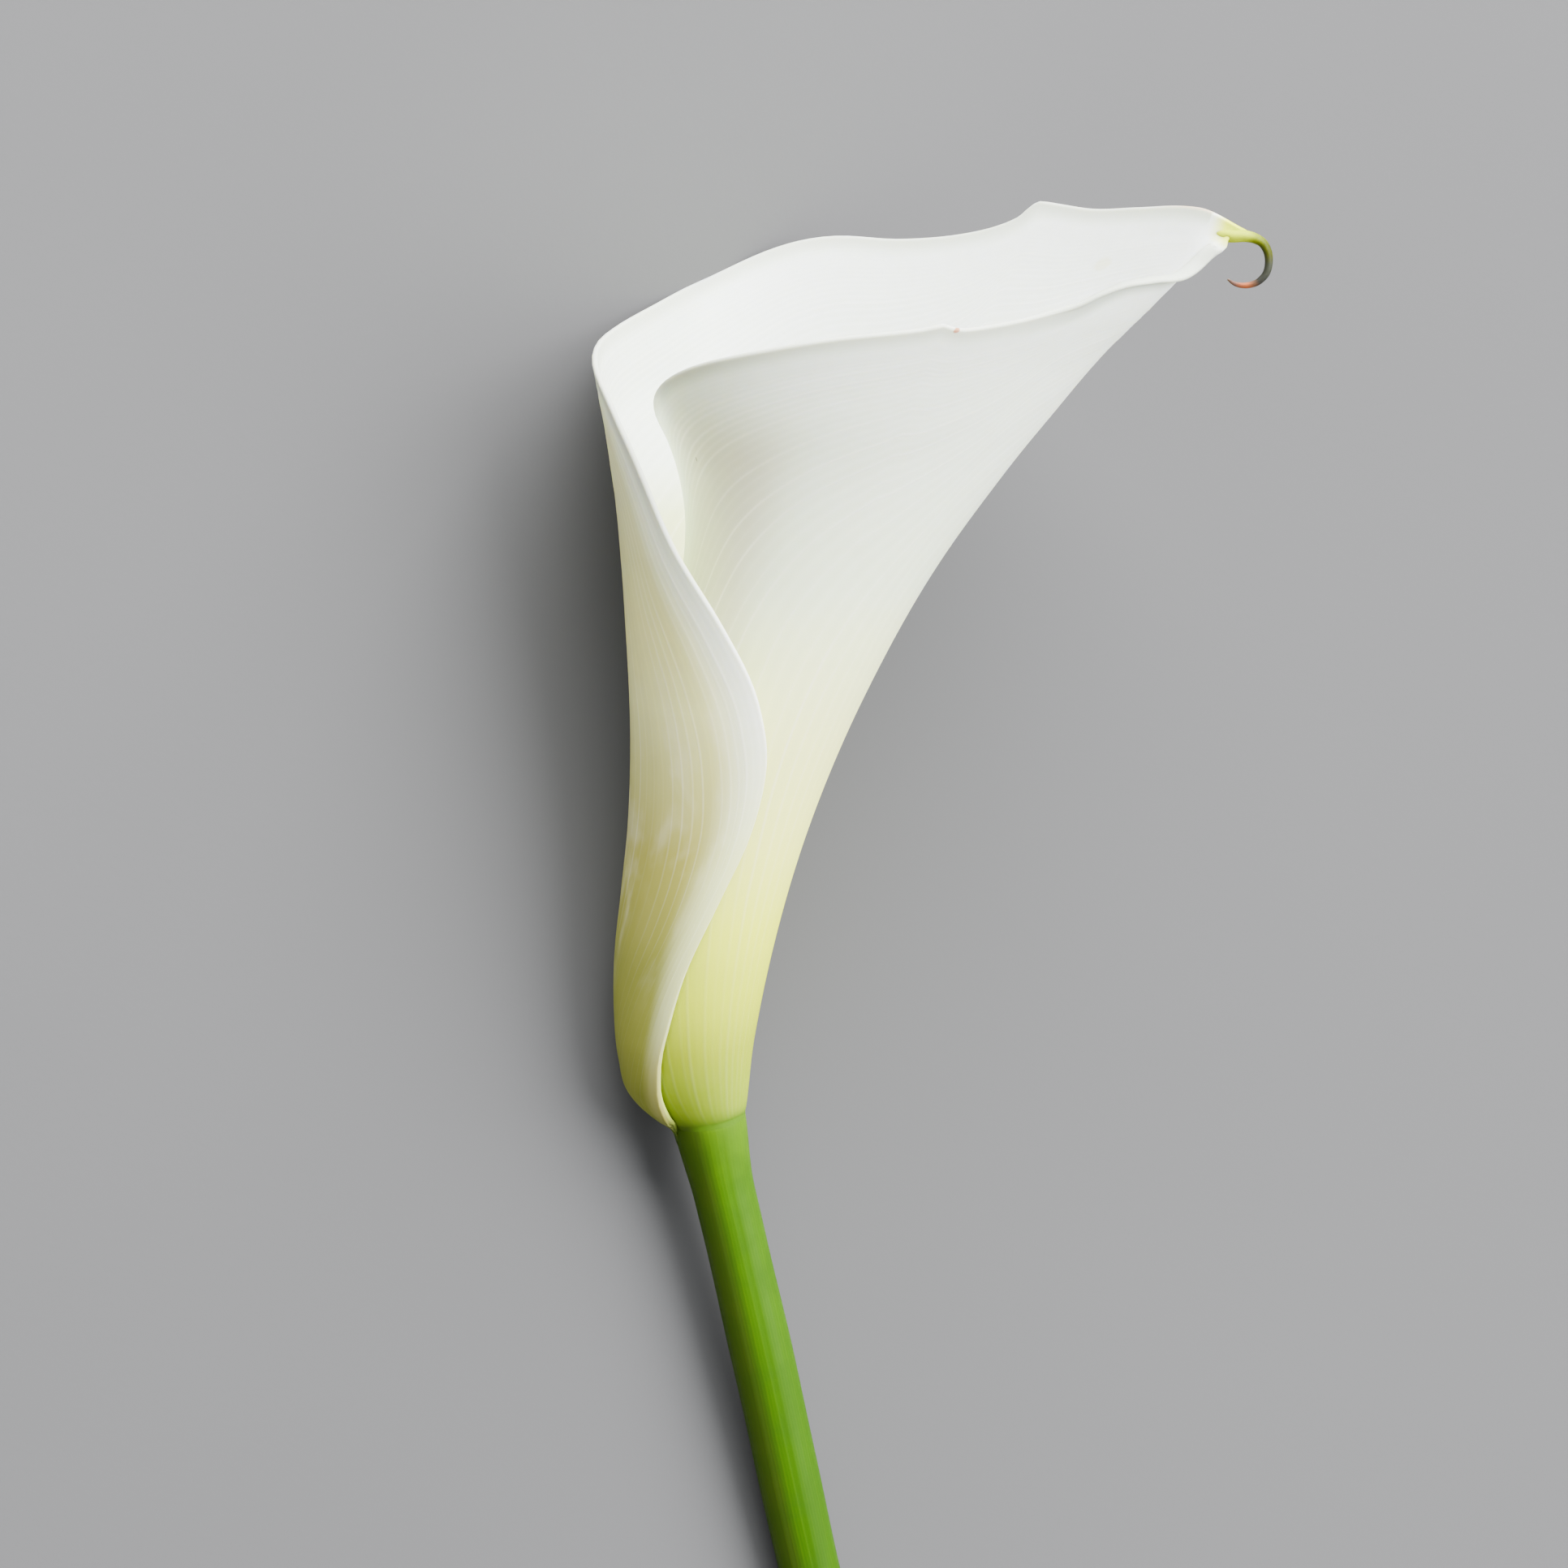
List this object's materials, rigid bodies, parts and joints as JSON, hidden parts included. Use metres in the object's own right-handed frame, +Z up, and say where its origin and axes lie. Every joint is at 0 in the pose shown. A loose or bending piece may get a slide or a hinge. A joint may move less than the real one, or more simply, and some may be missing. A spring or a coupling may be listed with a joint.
{
  "type": "calla lily flower",
  "caption": "Cut calla lily lying on its side: a white leaf rolled into a flared funnel with a hooked green tail, a floret-covered spadix inside and a green stem.",
  "frame": {"origin": "on the surface the flower lies on, under the middle of its bounding box", "axes": "+Y from the cut stem end towards the mouth, along the flower's length; +Z up, away from the surface; +X towards the side of the hooked tail"},
  "size_m": [0.0886, 0.212, 0.0645],
  "materials": {
    "spathe": "satin",
    "stem": "satin",
    "ovaries": "satin",
    "anthers": "matte"
  },
  "bodies": {
    "root": {"spathe": "spathe", "stem": "stem", "spadix_ovaries": "ovaries", "spadix_anthers": "anthers"}
  },
  "joints": []
}
